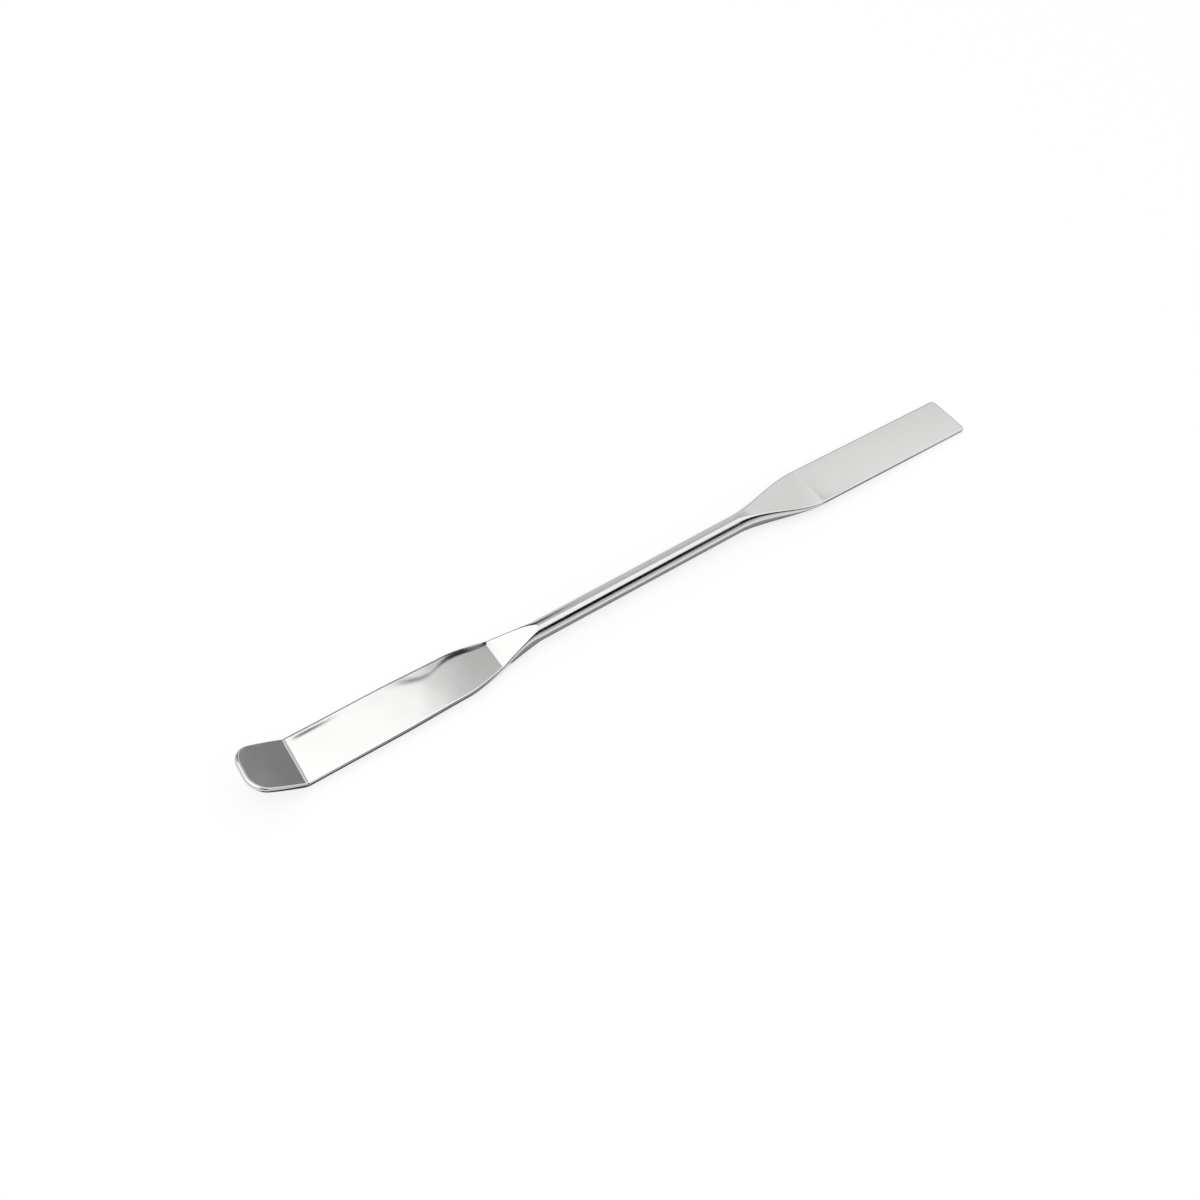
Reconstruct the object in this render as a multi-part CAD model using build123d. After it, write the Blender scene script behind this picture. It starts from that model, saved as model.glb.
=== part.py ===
"""Double-ended laboratory spatula: a round steel rod pressed flat at both ends.

Drawn with the rod's axis along X and the fold of the bent blade at x = 0, the bent
tip towards -X. It is then turned by its resting tilt and stood on z = 0 with the
middle of its bounding box on the Z axis. All sizes are in millimetres and degrees.
"""

import os
from math import asin, atan2, cos, degrees, radians, sin, tan

from build123d import *

# overall sizes
overall_length = 150.0
rod_diameter = 3.65
blade_thickness = 1.0
edge_roundness = 0.9  # roll of every blade edge, as a share of half the thickness

# bent blade
bent_blade_width = 9.9
bent_blade_length = 36.7  # fold to the crease where the neck ramp starts
bent_blade_offset = 0.5  # middle of the blade below the rod's axis
neck_narrowing = 0.225  # taper of each side of the bent blade from its parallel part to the crease
neck_ramp_length = 8.5  # crease to full rod
bent_shoulder_length = 16.6  # length over which the width falls to the rod

# tip, beyond the fold
tip_angle = 35.0
tip_length = 9.5
tip_narrowing = 0.6  # taper of each side of the turned-up tip to its end
tip_corner_radius = 3.5
fold_radius = 1.0  # inside radius of the fold

# flat blade
flat_blade_width = 9.4
flat_blade_length = 36.7  # end of the shoulder to the square end
flat_shoulder_length = 17.0
flat_blade_droop = 2.0  # slope of the blade below the rod's axis
flat_blade_drop = 0.7  # middle of the blade below the axis at the end of the shoulder
square_corner_radius = 0.9

# derived sizes
rod_radius = rod_diameter / 2
half = blade_thickness / 2
edge_radius = edge_roundness * half
neck_width = bent_blade_width - 2 * neck_narrowing
tip_end_width = bent_blade_width - 2 * tip_narrowing
roll = half - edge_radius  # half the straight part of an edge
land = 0.0005  # half the width of a flat where it dies out on the round rod
plate_length = bent_blade_length * 0.45  # part of the bent blade with parallel sides
rod_start = bent_blade_length + neck_ramp_length
tip_reach = (
    (tip_length - edge_radius) * cos(radians(tip_angle))
    + (half + roll) * sin(radians(tip_angle))
    + edge_radius
)
slope = radians(flat_blade_droop)
flat_reach = flat_shoulder_length + flat_blade_length * cos(slope)
rod_length = overall_length - tip_reach - rod_start - flat_reach
rod_end = rod_start + rod_length
flat_start = rod_end + flat_shoulder_length


def ease(t):
    """Smooth step from 0 to 1, level at both ends."""
    t = min(max(t, 0.0), 1.0)
    return t * t * (3 - 2 * t)


def mix(a, b, t):
    """The value a share t of the way from a to b."""
    return a + (b - a) * t


def section(x, z, width, height, run, side, pitch=0.0):
    """Closed outline across the bar at x, z: flats joined by quarter-ellipse corners.

    run is the width of a corner and side half the straight part of an edge.
    pitch tips the outline forward with the path that it stands on.
    """
    across = Plane(
        origin=(x, 0, z), x_dir=(0, 1, 0), z_dir=(cos(pitch), 0, -sin(pitch))
    )
    flat, rise = width / 2 - run, height / 2 - side
    trim = degrees(asin(land / run)) if flat < land else 0.0
    arcs = [
        Edge.make_ellipse(
            run,
            rise,
            Plane((sy * flat, sz * side, 0)),
            start_angle=first + trim,
            end_angle=first + 90 - trim,
        )
        for sy, sz, first in ((1, 1, 0), (-1, 1, 90), (-1, -1, 180), (1, -1, 270))
    ]
    lines = [Edge.make_line(arcs[i] @ 1, arcs[(i + 1) % 4] @ 0) for i in range(4)]
    return across * Wire([edge for pair in zip(arcs, lines) for edge in pair])


def bent_width(x):
    """Width of the bent blade and its neck at x."""
    taper = (x - plate_length) / (rod_start - bent_shoulder_length - plate_length)
    blade = mix(bent_blade_width, neck_width, ease(taper))
    return mix(rod_diameter, blade, ease((rod_start - x) / bent_shoulder_length))


def corner_run(t, power):
    """Width of a corner a share t of the way from the blade to the round rod."""
    return mix(edge_radius, rod_radius, t**power)


def steps(count):
    """Shares 0 to 1 in count even steps."""
    return [i / count for i in range(count + 1)]


def rim(plate, start):
    """Edges round a plate, leaving out its ends' short edges, folds and start face."""
    return [
        e
        for e in plate.edges()
        if not (e.geom_type == GeomType.LINE and abs(e.length - blade_thickness) < 1e-6)
        and abs(e.center().X - start) > 1e-6
        and not (e.length > 0.9 * bent_blade_width and abs(e.tangent_at(0.5).Y) > 0.9)
    ]


def bent_plate():
    """Parallel part of the bent blade, the fold and the tip, with rolled edges."""
    top = half - bent_blade_offset
    up = radians(tip_angle)
    corner_shift = blade_thickness * tan(up / 2)
    tip_top = (-tip_length * cos(up), top + tip_length * sin(up))
    tip_bottom = (
        tip_top[0] - blade_thickness * sin(up),
        tip_top[1] - blade_thickness * cos(up),
    )
    side = Polyline(
        (plate_length, top),
        (0, top),
        tip_top,
        tip_bottom,
        (-corner_shift, top - blade_thickness),
        (plate_length, top - blade_thickness),
        close=True,
    )
    profile = make_face(side)
    inner = profile.vertices().sort_by_distance((0, top))[0]
    profile = fillet(inner, fold_radius)
    outer = profile.vertices().sort_by_distance((-corner_shift, top - blade_thickness))
    profile = fillet(outer[0], fold_radius + blade_thickness)
    strip = extrude(Plane.XZ * profile, bent_blade_width / 2, both=True)

    tip_plane = Plane(
        origin=(0, 0, top), x_dir=(-cos(up), 0, sin(up)), z_dir=(-sin(up), 0, -cos(up))
    )
    fold_end = fold_radius * tan(up / 2)
    narrowing = (bent_blade_width - tip_end_width) / 2
    side_radius = ((tip_length - fold_end) ** 2 + narrowing**2) / (2 * narrowing)
    sides = [
        CenterArc(
            (fold_end, sy * (bent_blade_width / 2 - side_radius)),
            side_radius,
            90 * sy,
            -sy * degrees(asin((tip_length - fold_end) / side_radius)),
        )
        for sy in (1, -1)
    ]
    ends = [Line(sides[0] @ 1, sides[1] @ 1), Line(sides[1] @ 0, sides[0] @ 0)]
    outline = make_face(sides + ends)
    outline = fillet(outline.vertices().sort_by(Axis.X)[-2:], tip_corner_radius)
    around = Pos(fold_end + tip_length, 0) * Rectangle(
        2 * tip_length, 2 * bent_blade_width
    )
    strip -= extrude(tip_plane * (around - outline), 2 * tip_length, both=True)
    return fillet(rim(strip, plate_length), edge_radius)


def bent_neck():
    """Narrowing blade up to the crease, then the ramp that rises to the rod."""
    middle = -bent_blade_offset
    blade = []
    for t in steps(12):
        x = mix(plate_length, bent_blade_length, t)
        width = bent_width(x)
        blade.append(section(x, middle, width, blade_thickness, edge_radius, roll))
    ramp = []
    for t in steps(8):
        x = mix(bent_blade_length, rod_start, t)
        z = mix(middle, 0, t)
        height = mix(blade_thickness, rod_diameter, t)
        side = mix(roll, 0, t)
        run = corner_run(t, 5)
        ramp.append(section(x, z, bent_width(x), height, run, side))
    return Solid.make_loft(blade) + Solid.make_loft(ramp)


def flat_shoulder():
    """Smooth shoulder from the rod down to the flat blade."""
    sections = []
    for s in steps(10):
        x = mix(rod_end, flat_start, s)
        z = -flat_blade_drop * s * s * (3 - s) / 2
        width = mix(rod_diameter, flat_blade_width, ease(s))
        height = mix(rod_diameter, blade_thickness, ease(s))
        side = mix(0, roll, s)
        run = corner_run(1 - s, 3)
        sections.append(section(x, z, width, height, run, side, slope * ease(s)))
    return Solid.make_loft(sections)


def flat_plate():
    """Flat blade with a square end, small corner radii and rolled edges."""
    plate = extrude(
        Rectangle(flat_blade_length, flat_blade_width, align=(Align.MIN, Align.CENTER)),
        half,
        both=True,
    )
    corners = plate.edges().filter_by(Axis.Z).sort_by(Axis.X)[-2:]
    plate = fillet(corners, square_corner_radius)
    rims = [
        e
        for e in plate.edges()
        if abs(e.center().Z) > 0.9 * half and e.center().X > 1e-6
    ]
    plate = fillet(rims, edge_radius)
    return Pos(flat_start, 0, -flat_blade_drop) * Rot(0, flat_blade_droop, 0) * plate


rod = Solid.make_cylinder(
    rod_radius, rod_length, Plane(origin=(rod_start, 0, 0), z_dir=(1, 0, 0))
)
body = bent_plate() + bent_neck() + rod + flat_shoulder() + flat_plate()

# it rests on the start of the rod and on the bottom edge of the square end
heel_x = flat_start + (flat_blade_length - edge_radius) * cos(slope)
heel_z = -flat_blade_drop - (flat_blade_length - edge_radius) * sin(slope)
drop = (half - heel_z) - rod_radius
rest_tilt = degrees(atan2(drop, heel_x - rod_start))
body = Rot(0, -rest_tilt, 0) * body
box = body.bounding_box()
spatula = Pos(-box.center().X, 0, -box.min.Z) * body

os.makedirs("parts", exist_ok=True)
export_step(spatula, "parts/spatula.step")
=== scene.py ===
"""Looks of a double-ended laboratory spatula: pressed, ground and polished stainless steel."""

import math

import bpy
import numpy as np
from mathutils import Matrix, Vector


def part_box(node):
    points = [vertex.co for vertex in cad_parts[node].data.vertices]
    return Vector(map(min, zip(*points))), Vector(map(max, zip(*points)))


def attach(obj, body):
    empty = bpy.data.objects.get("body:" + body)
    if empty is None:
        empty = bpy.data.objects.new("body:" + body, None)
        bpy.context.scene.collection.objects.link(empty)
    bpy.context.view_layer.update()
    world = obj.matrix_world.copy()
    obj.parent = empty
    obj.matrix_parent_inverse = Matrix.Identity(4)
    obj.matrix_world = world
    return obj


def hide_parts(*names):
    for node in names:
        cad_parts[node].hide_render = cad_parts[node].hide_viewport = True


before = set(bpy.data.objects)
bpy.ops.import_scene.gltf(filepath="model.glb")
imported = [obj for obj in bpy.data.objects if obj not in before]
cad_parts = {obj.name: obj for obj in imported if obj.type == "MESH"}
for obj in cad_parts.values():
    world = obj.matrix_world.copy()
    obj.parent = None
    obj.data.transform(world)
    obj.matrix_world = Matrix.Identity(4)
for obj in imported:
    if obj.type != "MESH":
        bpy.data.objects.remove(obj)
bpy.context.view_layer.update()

MM = 0.001

# sizes of the spatula in millimetres, along the rod's axis with the fold at x = 0
ROD_RADIUS = 1.825
HALF = 0.5  # half the blades' thickness
EDGE = 0.45  # roll of the blades' edges
BENT_WIDTH = 9.9
BENT_LENGTH = 36.7  # fold to the neck crease
BENT_OFFSET = 0.5  # middle of the bent blade below the rod's axis
NECK_WIDTH = 9.45
RAMP_LENGTH = 8.5
BENT_SHOULDER = 16.6
TIP_ANGLE = math.radians(35.0)
TIP_LENGTH = 9.5
TIP_END_WIDTH = 8.7
TIP_CORNER = 3.5
FOLD_RADIUS = 1.0
FLAT_WIDTH = 9.4
FLAT_LENGTH = 36.7
FLAT_SHOULDER = 17.0
FLAT_SLOPE = math.radians(2.0)
FLAT_DROP = 0.7
SQUARE_CORNER = 0.9
OVERALL = 150.0

# sizes that follow from them
MID_FOLD = FOLD_RADIUS + HALF
FOLD_ARC = MID_FOLD * TIP_ANGLE  # length of the fold along the middle of the steel
FOLD_TANGENT = FOLD_RADIUS * math.tan(TIP_ANGLE / 2)
TIP_RUN = TIP_LENGTH - FOLD_TANGENT
ROD_START = BENT_LENGTH + RAMP_LENGTH
TIP_REACH = (
    (TIP_LENGTH - EDGE) * math.cos(TIP_ANGLE)
    + (2 * HALF - EDGE) * math.sin(TIP_ANGLE)
    + EDGE
)
ROD_END = OVERALL - TIP_REACH - FLAT_SHOULDER - FLAT_LENGTH * math.cos(FLAT_SLOPE)
FLAT_START = ROD_END + FLAT_SHOULDER
PLATE = 0.45 * BENT_LENGTH  # parallel part of the bent blade
REST_TILT = math.atan2(
    HALF + FLAT_DROP + (FLAT_LENGTH - EDGE) * math.sin(FLAT_SLOPE) - ROD_RADIUS,
    FLAT_START + (FLAT_LENGTH - EDGE) * math.cos(FLAT_SLOPE) - ROD_START,
)


def ease(t):
    """Smooth step from 0 to 1: 3 t^2 - 2 t^3, held level outside 0 to 1."""
    t = np.clip(t, 0.0, 1.0)
    return t * t * (3 - 2 * t)


def mix(a, b, t):
    """The value a share t of the way from a to b."""
    return a + (b - a) * t


def bump(t):
    """Smooth hump: 1 at t = 0, falling to 0 at t = -1 and t = 1."""
    return ease(1 - np.abs(t))


# ---------------------------------------------------------------- steel surface


def half_width(x):
    """Half the plan width at x: two blades joined to the rod by smooth steps."""
    taper = (x - PLATE) / (ROD_START - BENT_SHOULDER - PLATE)
    bent = mix(BENT_WIDTH, NECK_WIDTH, ease(taper))
    near = mix(2 * ROD_RADIUS, bent, ease((ROD_START - x) / BENT_SHOULDER))
    far = mix(2 * ROD_RADIUS, FLAT_WIDTH, ease((x - ROD_END) / FLAT_SHOULDER))
    return np.where(x < ROD_START, near, far) / 2


def half_height(x):
    """Half the height at x: a straight ramp at the neck, a smooth step at the far shoulder."""
    ramp = np.clip((x - BENT_LENGTH) / RAMP_LENGTH, 0, 1)
    far = mix(ROD_RADIUS, HALF, ease((x - ROD_END) / FLAT_SHOULDER))
    return np.where(x < ROD_START, mix(HALF, ROD_RADIUS, ramp), far)


def corner_run(x):
    """Width of a section's rounded corner at x: the edge roll on a blade, the radius on the rod."""
    ramp = np.clip((x - BENT_LENGTH) / RAMP_LENGTH, 0, 1)
    far = np.clip(1 - (x - ROD_END) / FLAT_SHOULDER, 0, 1)
    share = np.where(x < ROD_START, ramp**5, far**3)
    return mix(EDGE, ROD_RADIUS, share)


def corner_side(x):
    """Half the straight part of an edge at x, which dies out on the rod."""
    ramp = np.clip((x - BENT_LENGTH) / RAMP_LENGTH, 0, 1)
    far = np.clip((x - ROD_END) / FLAT_SHOULDER, 0, 1)
    return (HALF - EDGE) * np.where(x < ROD_START, 1 - ramp, far)


def middle_line(u):
    """Middle of the steel at length u from the fold: x, z and the lean of its normal.

    A straight tip, the fold's arc, a level blade, a ramp up to the rod's axis, the rod,
    a smooth drop and a straight sloping blade.
    """
    x = FOLD_TANGENT + np.maximum(u, 0)
    ramp = np.clip((x - BENT_LENGTH) / RAMP_LENGTH, 0, 1)
    z = mix(-BENT_OFFSET, 0.0, ramp)
    lean = np.zeros_like(x)
    s = np.clip((x - ROD_END) / FLAT_SHOULDER, 0, 1)
    z = np.where(x > ROD_END, -FLAT_DROP * s * s * (3 - s) / 2, z)
    lean = np.where(x > ROD_END, FLAT_SLOPE * ease(s), lean)
    past = np.maximum(x - FLAT_START, 0)
    z = z - past * math.sin(FLAT_SLOPE)
    x = np.minimum(x, FLAT_START) + past * math.cos(FLAT_SLOPE)
    turn = np.clip(-u / FOLD_ARC, 0, 1) * TIP_ANGLE
    out = np.maximum(-u - FOLD_ARC, 0)
    x = x - MID_FOLD * np.sin(turn) - out * math.cos(TIP_ANGLE)
    z = z + MID_FOLD * (1 - np.cos(turn)) + out * math.sin(TIP_ANGLE)
    return x, z, lean + turn


def outline():
    """Plan of one side, from the middle of the tip's end to the middle of the square end.

    Returns length u, half-width y and the outward normal: end line, corner arc, side arc,
    width curve, corner arc, end line.
    """
    u_end = -FOLD_ARC - TIP_RUN
    narrowing = (BENT_WIDTH - TIP_END_WIDTH) / 2
    side_radius = (TIP_RUN**2 + narrowing**2) / (2 * narrowing)
    side_y = BENT_WIDTH / 2 - side_radius
    corner_u = u_end + TIP_CORNER
    reach = side_radius - TIP_CORNER
    corner_y = side_y + math.sqrt(reach**2 - (corner_u + FOLD_ARC) ** 2)
    meet = math.atan2(corner_y - side_y, corner_u + FOLD_ARC)
    t = np.linspace(0, 1, 12, endpoint=False)
    end = (u_end + 0 * t, corner_y * t, -1 + 0 * t, 0 * t)
    a = np.linspace(math.pi, meet, 40, endpoint=False)
    corner = (corner_u + TIP_CORNER * np.cos(a), corner_y + TIP_CORNER * np.sin(a))
    corner += (np.cos(a), np.sin(a))
    a = np.linspace(meet, math.pi / 2, 24, endpoint=False)
    side = (side_radius * np.cos(a) - FOLD_ARC, side_y + side_radius * np.sin(a))
    side += (np.cos(a), np.sin(a))

    u_stop = FLAT_START - FOLD_TANGENT + FLAT_LENGTH
    last = u_stop - SQUARE_CORNER
    u = np.concatenate(
        [
            np.linspace(-FOLD_ARC, 0, 16, endpoint=False),
            np.linspace(0, ROD_START - 18, 60, endpoint=False),
            np.linspace(ROD_START - 18, ROD_START, 110, endpoint=False),
            np.linspace(ROD_START, ROD_END - 1, 50, endpoint=False),
            np.linspace(ROD_END - 1, FLAT_START, 90, endpoint=False),
            np.linspace(FLAT_START, last, 60, endpoint=False),
        ]
    )
    x = FOLD_TANGENT + np.maximum(u, 0)
    y = half_width(x)
    steep = (half_width(x + 0.01) - half_width(x - 0.01)) / 0.02
    long = np.hypot(steep, 1)
    curve = (u, y, -steep / long, 1 / long)

    a = np.linspace(math.pi / 2, 0, 12, endpoint=False)
    stop_y = FLAT_WIDTH / 2 - SQUARE_CORNER
    square = (last + SQUARE_CORNER * np.cos(a), stop_y + SQUARE_CORNER * np.sin(a))
    square += (np.cos(a), np.sin(a))
    t = np.linspace(1, 0, 16)
    stop = (u_stop + 0 * t, stop_y * t, 1 + 0 * t, 0 * t)
    parts = [end, corner, side, curve, square, stop]
    return [np.concatenate([p[i] for p in parts]) for i in range(4)]


def hand_finish(u, y):
    """Height in mm that pressing, grinding and polishing by hand leaves on the upper faces.

    Long shallow waves along the bent blade. A wandering step down near one edge, about
    1.5 mm wide, from the middle of the blade to the neck. A fall towards that edge at the
    neck crease, which the ramp takes up again. A low crown across the flat blade.
    """
    x = u + FOLD_TANGENT
    on_blade = ease(x / 4) * ease((BENT_LENGTH - x) / 3)
    waves = 0.002 * np.sin(x * 0.55 + y * 0.35) + 0.001 * np.sin(x * 1.1 - y * 0.8 + 1)
    step_y = 3.6 - 1.1 * bump((x - 25) / 5) - 0.5 * bump((x - 36) / 6)
    step = (0.07 * ease((x - 17) / 6) + 0.05 * ease((x - 25) / 9)) * ease((y - step_y + 0.8) / 1.6)
    heel = 0.07 * bump((x - 4) / 11) * ease(x / 2) * ease((y - 3.2) / 1.3)
    fall = 0.36 * ease((x - 31.5) / 7) * np.clip((y + 5) / 10, 0, 1) ** 1.6
    take_up = ease((BENT_LENGTH + 1.2 - x) / 1.6)
    crown = 0.10 * ease((x - ROD_END - 4) / 10) * (y / (FLAT_WIDTH / 2)) ** 2
    return on_blade * waves - heel - (step + fall) * take_up - crown


def steel_points(hand):
    """Grid of points over one side of the spatula, in the rod's frame: y from 0 up for a
    hand of 1, and from 0 down for a hand of -1.

    For each place on the outline a strip runs from the upper middle line out to the edge,
    round it in a quarter ellipse, a short straight side and another quarter ellipse, and
    back along the lower face. The inner part of a face is straight from the roll to the
    middle line.
    """
    u, y, nu, ny = outline()
    u_end, u_stop = u[0], u[-1]
    along = FOLD_TANGENT + np.maximum(u, 0)
    run = corner_run(along)
    fan = BENT_WIDTH / 2
    spread = fan + 0.1 * y  # keeps apart the strips that start on one end line
    spine = u + spread * (1 - ease((u - u_end) / (3 * fan)))
    spine = spine - spread * (1 - ease((u_stop - u) / (3 * fan)))

    q = np.linspace(0, 1, 19)[:-1]
    q = mix(q, ease(q), 0.5)  # share of the way from middle line to roll
    psi = np.linspace(math.pi / 2, 0, 13)
    rows = []
    for side in (1, -1):
        top = []
        inner_u, inner_y = u - run * nu, y - run * ny
        for share in q:
            uu, yy = mix(spine, inner_u, share), inner_y * share
            top.append((uu, yy, 1.0, 0.0))
        for angle in psi:
            inset = run * (1 - math.cos(angle))
            top.append((u - inset * nu, y - inset * ny, math.sin(angle), angle))
        strip = []
        for uu, yy, rise, _ in top:
            x = FOLD_TANGENT + np.maximum(uu, 0)
            low, high = corner_side(x), half_height(x)
            w = low + (high - low) * rise
            if side > 0:
                w = w + hand_finish(uu, hand * yy) * rise
            cx, cz, lean = middle_line(uu)
            x, z = cx + side * w * np.sin(lean), cz + side * w * np.cos(lean)
            strip.append((x, hand * yy, z))
        rows.append(strip if side > 0 else strip[::-1])
    return np.array(rows[0] + rows[1]).transpose(2, 0, 1)  # station, row, xyz


def to_row_frame(p):
    """Turns points from the rod's frame to the resting pose, in metres, standing in the CAD box."""
    c, s = math.cos(REST_TILT), math.sin(REST_TILT)
    x = p[..., 0] * c - p[..., 2] * s
    z = p[..., 0] * s + p[..., 2] * c
    return np.stack([x, p[..., 1], z], -1) * MM


def build_spatula():
    """Closed mesh of the whole spatula: the grids of its two sides, welded."""
    grid, other = steel_points(1), steel_points(-1)
    n, m, _ = grid.shape
    points = to_row_frame(np.concatenate([grid.reshape(-1, 3), other.reshape(-1, 3)]))
    low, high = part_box("spatula")
    points[:, 0] += (low.x + high.x) / 2 - (points[:, 0].min() + points[:, 0].max()) / 2
    points[:, 2] += low.z - points[:, 2].min()
    i, j = np.meshgrid(np.arange(n - 1), np.arange(m - 1), indexing="ij")
    a = (i * m + j).ravel()
    quads = np.stack([a, a + 1, a + m + 1, a + m], 1)
    quads = np.concatenate([quads[:, ::-1], quads + n * m])
    keys = np.round(points / (1e-4 * MM)).astype(np.int64)
    _, first, welded = np.unique(keys, axis=0, return_index=True, return_inverse=True)
    faces = welded.reshape(-1)[quads]
    mesh = bpy.data.meshes.new("spatula_steel")
    clean = []
    for f in faces.tolist():
        g = [v for k, v in enumerate(f) if v != f[k - 1]]
        if len(set(g)) > 2:
            clean.append(g)
    mesh.from_pydata(points[first].tolist(), [], clean)
    mesh.validate()
    mesh.shade_smooth()
    obj = bpy.data.objects.new("spatula_steel", mesh)
    bpy.context.scene.collection.objects.link(obj)
    return obj


# ---------------------------------------------------------------- materials


def linear(hex_colour, alpha=1.0):
    """sRGB hex to a linear RGBA tuple."""
    out = []
    for i in (1, 3, 5):
        c = int(hex_colour[i : i + 2], 16) / 255
        out.append(c / 12.92 if c <= 0.04045 else ((c + 0.055) / 1.055) ** 2.4)
    return (*out, alpha)


def node(tree, kind, links=None, **settings):
    """Adds a node, sets its properties and input values, and links its inputs."""
    made = tree.nodes.new(kind)
    for name, value in settings.items():
        if hasattr(made, name):
            setattr(made, name, value)
        else:
            made.inputs[name.replace("_", " ")].default_value = value
    for name, source in (links or {}).items():
        tree.links.new(source, made.inputs[name])
    return made


def new_material(name):
    """An empty node material and its output node."""
    mat = bpy.data.materials.new(name)
    mat.use_nodes = True
    mat.node_tree.nodes.clear()
    out = mat.node_tree.nodes.new("ShaderNodeOutputMaterial")
    return mat, mat.node_tree, out


def polished_stainless():
    """Stainless steel 18/10, belt-ground lengthwise and buffed to a soft polish.

    Buffing leaves a bright surface with a faint lengthwise haze, so reflections are clear
    but soft at their borders.
    """
    mat, tree, out = new_material("polished_stainless_steel")
    place = node(tree, "ShaderNodeTexCoord").outputs["Object"]
    grain_map = node(tree, "ShaderNodeMapping", {"Vector": place})
    grain_map.inputs["Scale"].default_value = (60.0, 5000.0, 5000.0)
    grain = node(
        tree, "ShaderNodeTexNoise", {"Vector": grain_map.outputs[0]}, Scale=1.0, Detail=2.0
    )
    haze = node(tree, "ShaderNodeTexNoise", {"Vector": place}, Scale=120.0, Detail=3.0)
    rough = node(
        tree,
        "ShaderNodeMapRange",
        {"Value": haze.outputs["Fac"]},
        From_Min=0.3,
        From_Max=0.7,
        To_Min=0.10,
        To_Max=0.17,
    )
    lines = node(
        tree,
        "ShaderNodeBump",
        {"Height": grain.outputs["Fac"]},
        Strength=0.12,
        Distance=0.00002,
    )
    steel = node(
        tree,
        "ShaderNodeBsdfPrincipled",
        {"Roughness": rough.outputs[0], "Normal": lines.outputs[0]},
        Metallic=1.0,
    )
    steel.inputs["Base Color"].default_value = linear("#D6D6D5")
    tree.links.new(steel.outputs[0], out.inputs["Surface"])
    return mat


def white_floor():
    """Matt white paper sweep: it takes the soft shadow and shows almost pure white."""
    mat, tree, out = new_material("white_paper_floor")
    paper = node(tree, "ShaderNodeBsdfDiffuse", Color=linear("#F2F2F2"))
    glow = node(tree, "ShaderNodeEmission", Color=linear("#FFFFFF"), Strength=1.0)
    path = node(tree, "ShaderNodeLightPath")
    steel_ray = node(
        tree,
        "ShaderNodeMath",
        {0: path.outputs["Is Glossy Ray"], 1: path.outputs["Is Transmission Ray"]},
        operation="MAXIMUM",
    )
    steel_share = node(tree, "ShaderNodeMath", {0: steel_ray.outputs[0]}, operation="MULTIPLY")
    steel_share.inputs[1].default_value = 0.3
    share = node(
        tree,
        "ShaderNodeMath",
        {0: path.outputs["Is Camera Ray"], 2: steel_share.outputs[0]},
        operation="MULTIPLY_ADD",
    )
    share.inputs[1].default_value = 0.75
    blend = node(
        tree,
        "ShaderNodeMixShader",
        {0: share.outputs[0], 1: paper.outputs[0], 2: glow.outputs[0]},
    )
    tree.links.new(blend.outputs[0], out.inputs["Surface"])
    return mat


def card_material(name, shade):
    """Matt studio card of one shade."""
    mat, tree, out = new_material(name)
    card = node(tree, "ShaderNodeBsdfDiffuse", Color=linear(shade))
    tree.links.new(card.outputs[0], out.inputs["Surface"])
    return mat


# ---------------------------------------------------------------- studio

CAMERA_PLACE = Vector((-0.07386, -0.09713, 0.16459))
CAMERA_BACK = Vector((-0.3244, -0.4830, 0.8134)).normalized()
CAMERA_ROLL = math.radians(0.5435)
CAMERA_LENS = 34.25
ASIDE = Vector((0.834, -0.551, 0.0))  # level, to the camera's right
AHEAD = Vector((0.551, 0.834, 0.0))  # level, away from the camera


def add_camera():
    """Camera above the near side, looking down its own back vector with a slight roll."""
    data = bpy.data.cameras.new("camera")
    data.lens = CAMERA_LENS
    data.sensor_width = 36.0
    data.clip_start = 0.005
    cam = bpy.data.objects.new("camera", data)
    right = Vector((0, 0, 1)).cross(CAMERA_BACK).normalized()
    up = CAMERA_BACK.cross(right)
    turn = Matrix((right, up, CAMERA_BACK)).transposed()
    turn = turn @ Matrix.Rotation(CAMERA_ROLL, 3, "Z")
    cam.matrix_world = Matrix.Translation(CAMERA_PLACE) @ turn.to_4x4()
    bpy.context.scene.collection.objects.link(cam)
    bpy.context.scene.camera = cam


def stand(obj, place, towards):
    """Puts a flat card or lamp at place with its face towards a point, level side to side."""
    face = (Vector(towards) - Vector(place)).normalized()
    obj.matrix_world = Matrix.Translation(place) @ face.to_track_quat("-Z", "Y").to_matrix().to_4x4()


def add_card(name, place, size, shade, towards=(0, 0, 0)):
    """A matt card that only the steel sees: it shapes reflections and casts no shadow."""
    w, h = size[0] / 2, size[1] / 2
    mesh = bpy.data.meshes.new(name)
    mesh.from_pydata([(-w, -h, 0), (w, -h, 0), (w, h, 0), (-w, h, 0)], [], [(0, 1, 2, 3)])
    mesh.materials.append(card_material(name, shade))
    obj = bpy.data.objects.new(name, mesh)
    bpy.context.scene.collection.objects.link(obj)
    stand(obj, place, towards)
    obj.visible_camera = False
    obj.visible_shadow = False
    obj.visible_diffuse = False
    return obj


def add_softbox(name, centre, size, radiance):
    """Level overhead softbox with an even bright face."""
    data = bpy.data.lights.new(name, "AREA")
    data.shape = "RECTANGLE"
    data.size, data.size_y = size
    data.energy = radiance * math.pi * size[0] * size[1]
    obj = bpy.data.objects.new(name, data)
    obj.matrix_world = Matrix.Translation(centre)
    bpy.context.scene.collection.objects.link(obj)
    return obj


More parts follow.
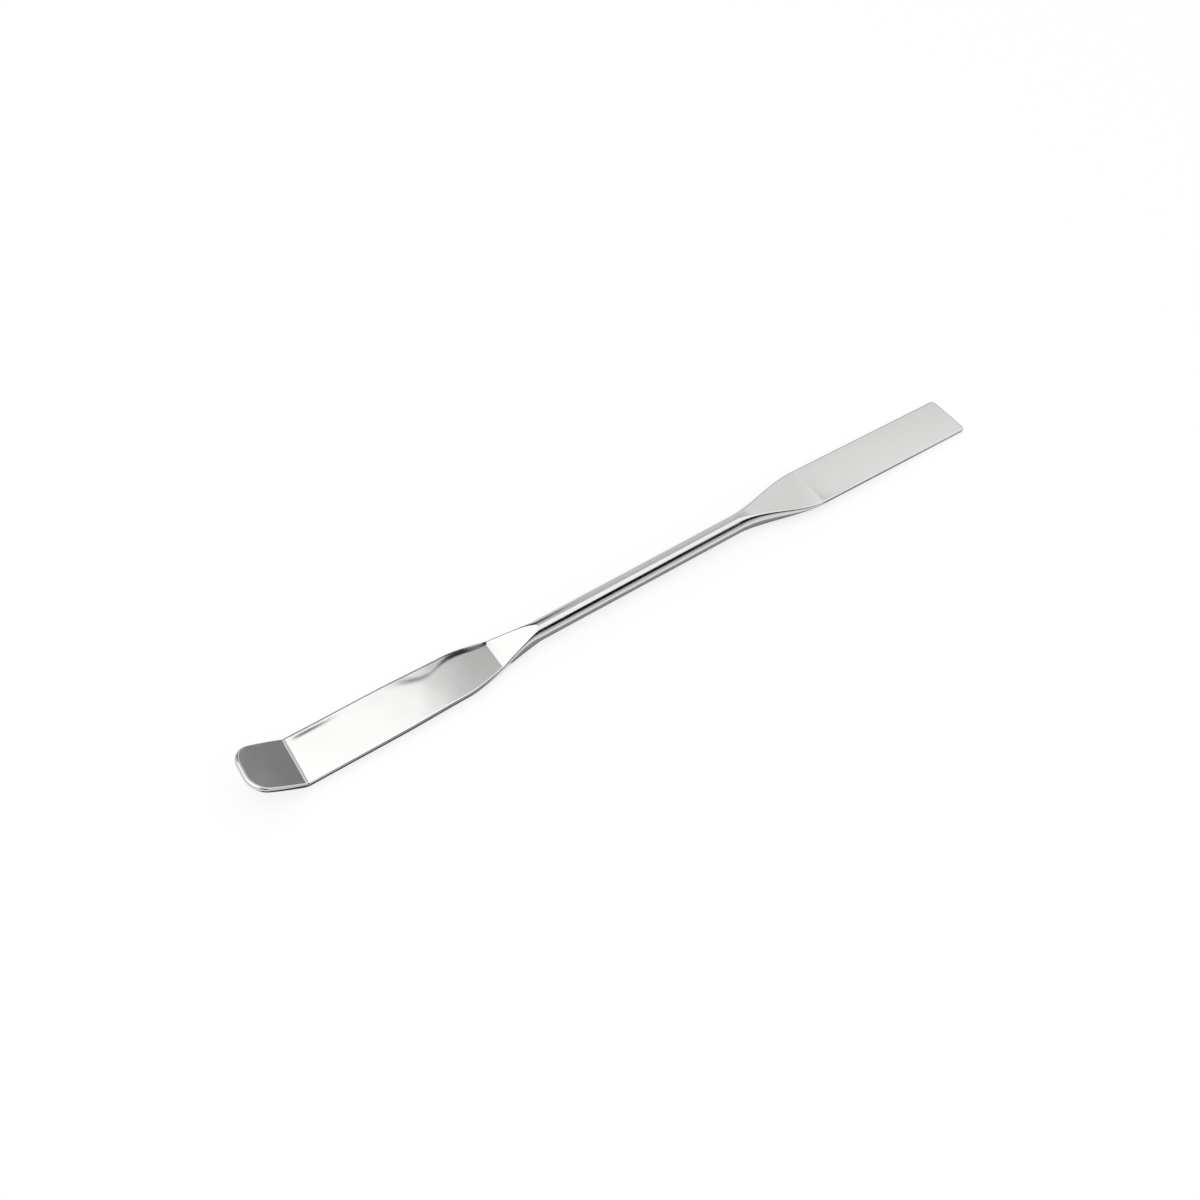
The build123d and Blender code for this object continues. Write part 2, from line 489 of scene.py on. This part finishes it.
def add_studio():
    """Pale floor, pale surroundings, one overhead softbox, four reflection cards, and three strips
    of painted shadow lying on the floor under the object, which only the steel sees in its
    reflections.
    """
    mesh = bpy.data.meshes.new("floor")
    s = 3.0
    mesh.from_pydata([(-s, -s, 0), (s, -s, 0), (s, s, 0), (-s, s, 0)], [], [(0, 1, 2, 3)])
    mesh.materials.append(white_floor())
    floor = bpy.data.objects.new("floor", mesh)
    bpy.context.scene.collection.objects.link(floor)

    world = bpy.data.worlds.new("studio")
    bpy.context.scene.world = world
    world.use_nodes = True
    tree = world.node_tree
    tree.nodes.clear()
    towards = node(tree, "ShaderNodeTexCoord").outputs["Generated"]
    height = node(tree, "ShaderNodeSeparateXYZ", {0: towards}).outputs["Z"]
    walls = node(tree, "ShaderNodeValToRGB", {0: height})
    shades = [
        (0.0, "#B4B4B4"),
        (0.28, "#B8B8B8"),
        (0.46, "#E6E6E6"),
        (0.60, "#DADADA"),
        (0.72, "#ECECEC"),
        (0.92, "#FFFFFF"),
    ]
    while len(walls.color_ramp.elements) < len(shades):
        walls.color_ramp.elements.new(1.0)
    for stop, (at, shade) in zip(walls.color_ramp.elements, shades):
        stop.position = at
        stop.color = linear(shade)
    room = node(tree, "ShaderNodeBackground", {0: walls.outputs["Color"]}, Strength=1.3)
    out = tree.nodes.new("ShaderNodeOutputWorld")
    tree.links.new(room.outputs[0], out.inputs["Surface"])

    height = 0.6
    add_softbox("overhead_softbox", (-0.40, 0.08, height), (0.91, 1.06), 0.25)
    below = Vector((0.28, 0.555, 0))
    add_card("grey_card_top", below + Vector((0, 0, height)), (0.42, 0.83), "#D8D8D8", below)
    add_card("grey_card_right", (0.50, 0.32, 0.12), (0.5, 0.26), "#949494")
    add_card("black_card_front", (0.15, -0.45, 0.37), (0.38, 0.36), "#101010")
    spot = ASIDE * -0.25 + AHEAD * 0.40 + Vector((0, 0, 0.33))
    add_card("dark_card_back", spot, (0.28, 0.33), "#181818")
    # Painted shadow: grey and dark strips lie flat on the floor just under the rod and the blades.
    # They stand in for the object's shadow there, as the steel's lower edges reflect it. The camera
    # doesn't see them and they cast no shadow.
    strips = [
        ("painted_shadow_strip_rod", Vector((0.006, -0.0035, 0.0003)), (0.068, 0.004), "#A0A0A0"),
        ("painted_shadow_strip_left", Vector((-0.055, -0.0095, 0.0003)), (0.05, 0.009), "#484848"),
        ("painted_shadow_strip_right", Vector((0.06, -0.0095, 0.0003)), (0.04, 0.009), "#484848"),
    ]
    for name, place, size, shade in strips:
        add_card(name, place, size, shade, place + Vector((0, 0, 1)))


steel = build_spatula()
steel.data.materials.append(polished_stainless())
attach(steel, "root")
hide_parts("spatula")

add_camera()
add_studio()
bpy.context.scene.view_settings.view_transform = "Standard"
